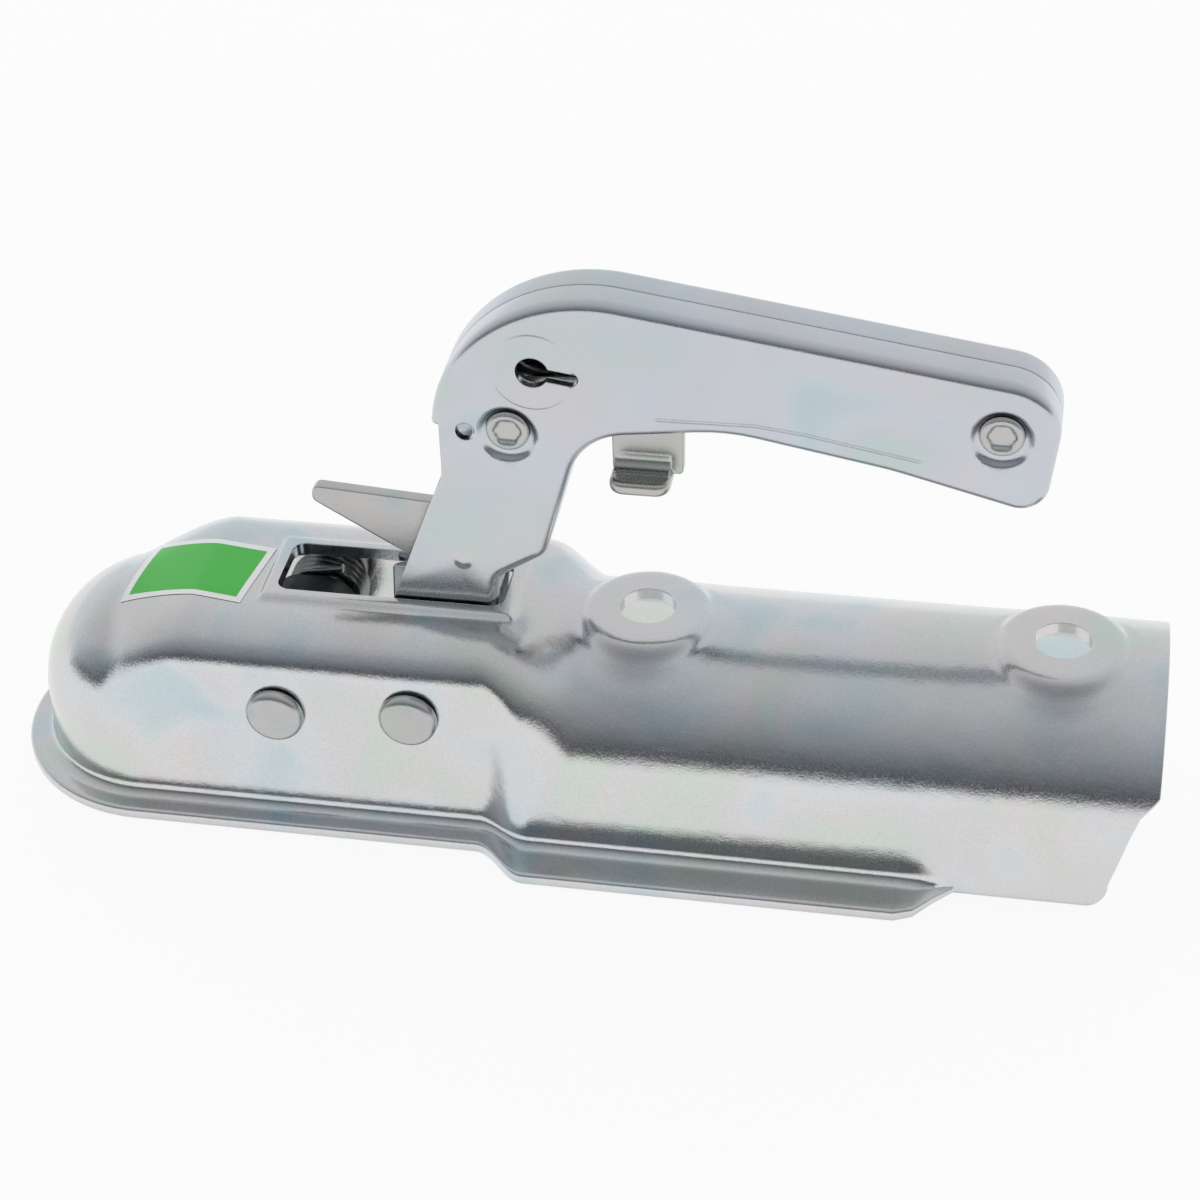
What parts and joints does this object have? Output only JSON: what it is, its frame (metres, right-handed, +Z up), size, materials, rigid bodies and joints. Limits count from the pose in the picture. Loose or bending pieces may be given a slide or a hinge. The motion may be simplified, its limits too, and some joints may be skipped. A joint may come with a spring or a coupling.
{
  "type": "trailer coupling head",
  "caption": "Pressed-steel trailer coupling head with a zinc finish, a goose-neck grip handle with a finger trigger, and a sprung jaw that clamps the tow ball.",
  "frame": {"origin": "centre of the bounding box in plan, on the plane of the bottom flange", "axes": "+X along the drawbar towards its tail, +Y to the right in the direction of travel (which is -X), +Z up"},
  "size_m": [0.2596, 0.086, 0.127],
  "materials": {
    "housing_zinc": "bright zinc plating on pressed steel sheet, satin with soft reflections",
    "handle_zinc": "blue-passivated zinc plating on pressed steel sheet, satin",
    "trigger_zinc": "zinc plating on stamped steel plate, satin",
    "pin_zinc": "zinc plating on turned and riveted steel",
    "cast_jaw": "dark phosphated cast iron",
    "bronze": "sintered bronze bush",
    "spring_wire": "drawn spring wire"
  },
  "bodies": {
    "root": {"housing": "housing_zinc", "jaw_pin": "pin_zinc", "jaw_sleeve_left": "pin_zinc", "jaw_sleeve_right": "pin_zinc", "jaw_spring": "spring_wire", "handle_pin": "pin_zinc", "pivot_sleeve_left": "pin_zinc", "pivot_sleeve_right": "pin_zinc", "handle_spring": "spring_wire"},
    "jaw": {"jaw": "cast_jaw"},
    "handle": {"handle_left": "handle_zinc", "handle_right": "handle_zinc", "pivot_bush": "bronze", "cam": "cast_jaw", "cam_rivet": "pin_zinc", "trigger_rivet": "pin_zinc", "trigger_sleeve": "pin_zinc", "tail_rivet": "pin_zinc", "tail_sleeve": "pin_zinc", "trigger_spring": "spring_wire"},
    "trigger": {"trigger": "trigger_zinc"}
  },
  "joints": [
    {"name": "handle_lift", "type": "hinge", "parent": "root", "child": "handle", "pos_m": [-0.03103, 0, 0.032], "axis": [0, -1, 0], "range_deg": [0, 25]},
    {"name": "jaw_release", "type": "hinge", "parent": "root", "child": "jaw", "pos_m": [-0.06113, 0, 0.03], "axis": [0, -1, 0], "range_deg": [0, 11.25]},
    {"name": "trigger_squeeze", "type": "hinge", "parent": "handle", "child": "trigger", "pos_m": [-0.01023, 0, 0.0945], "axis": [0, -1, 0], "range_deg": [0, 7]}
  ],
  "couplings": [
    {"joint": "jaw_release", "follows": "handle_lift", "ratio": 0.45}
  ]
}
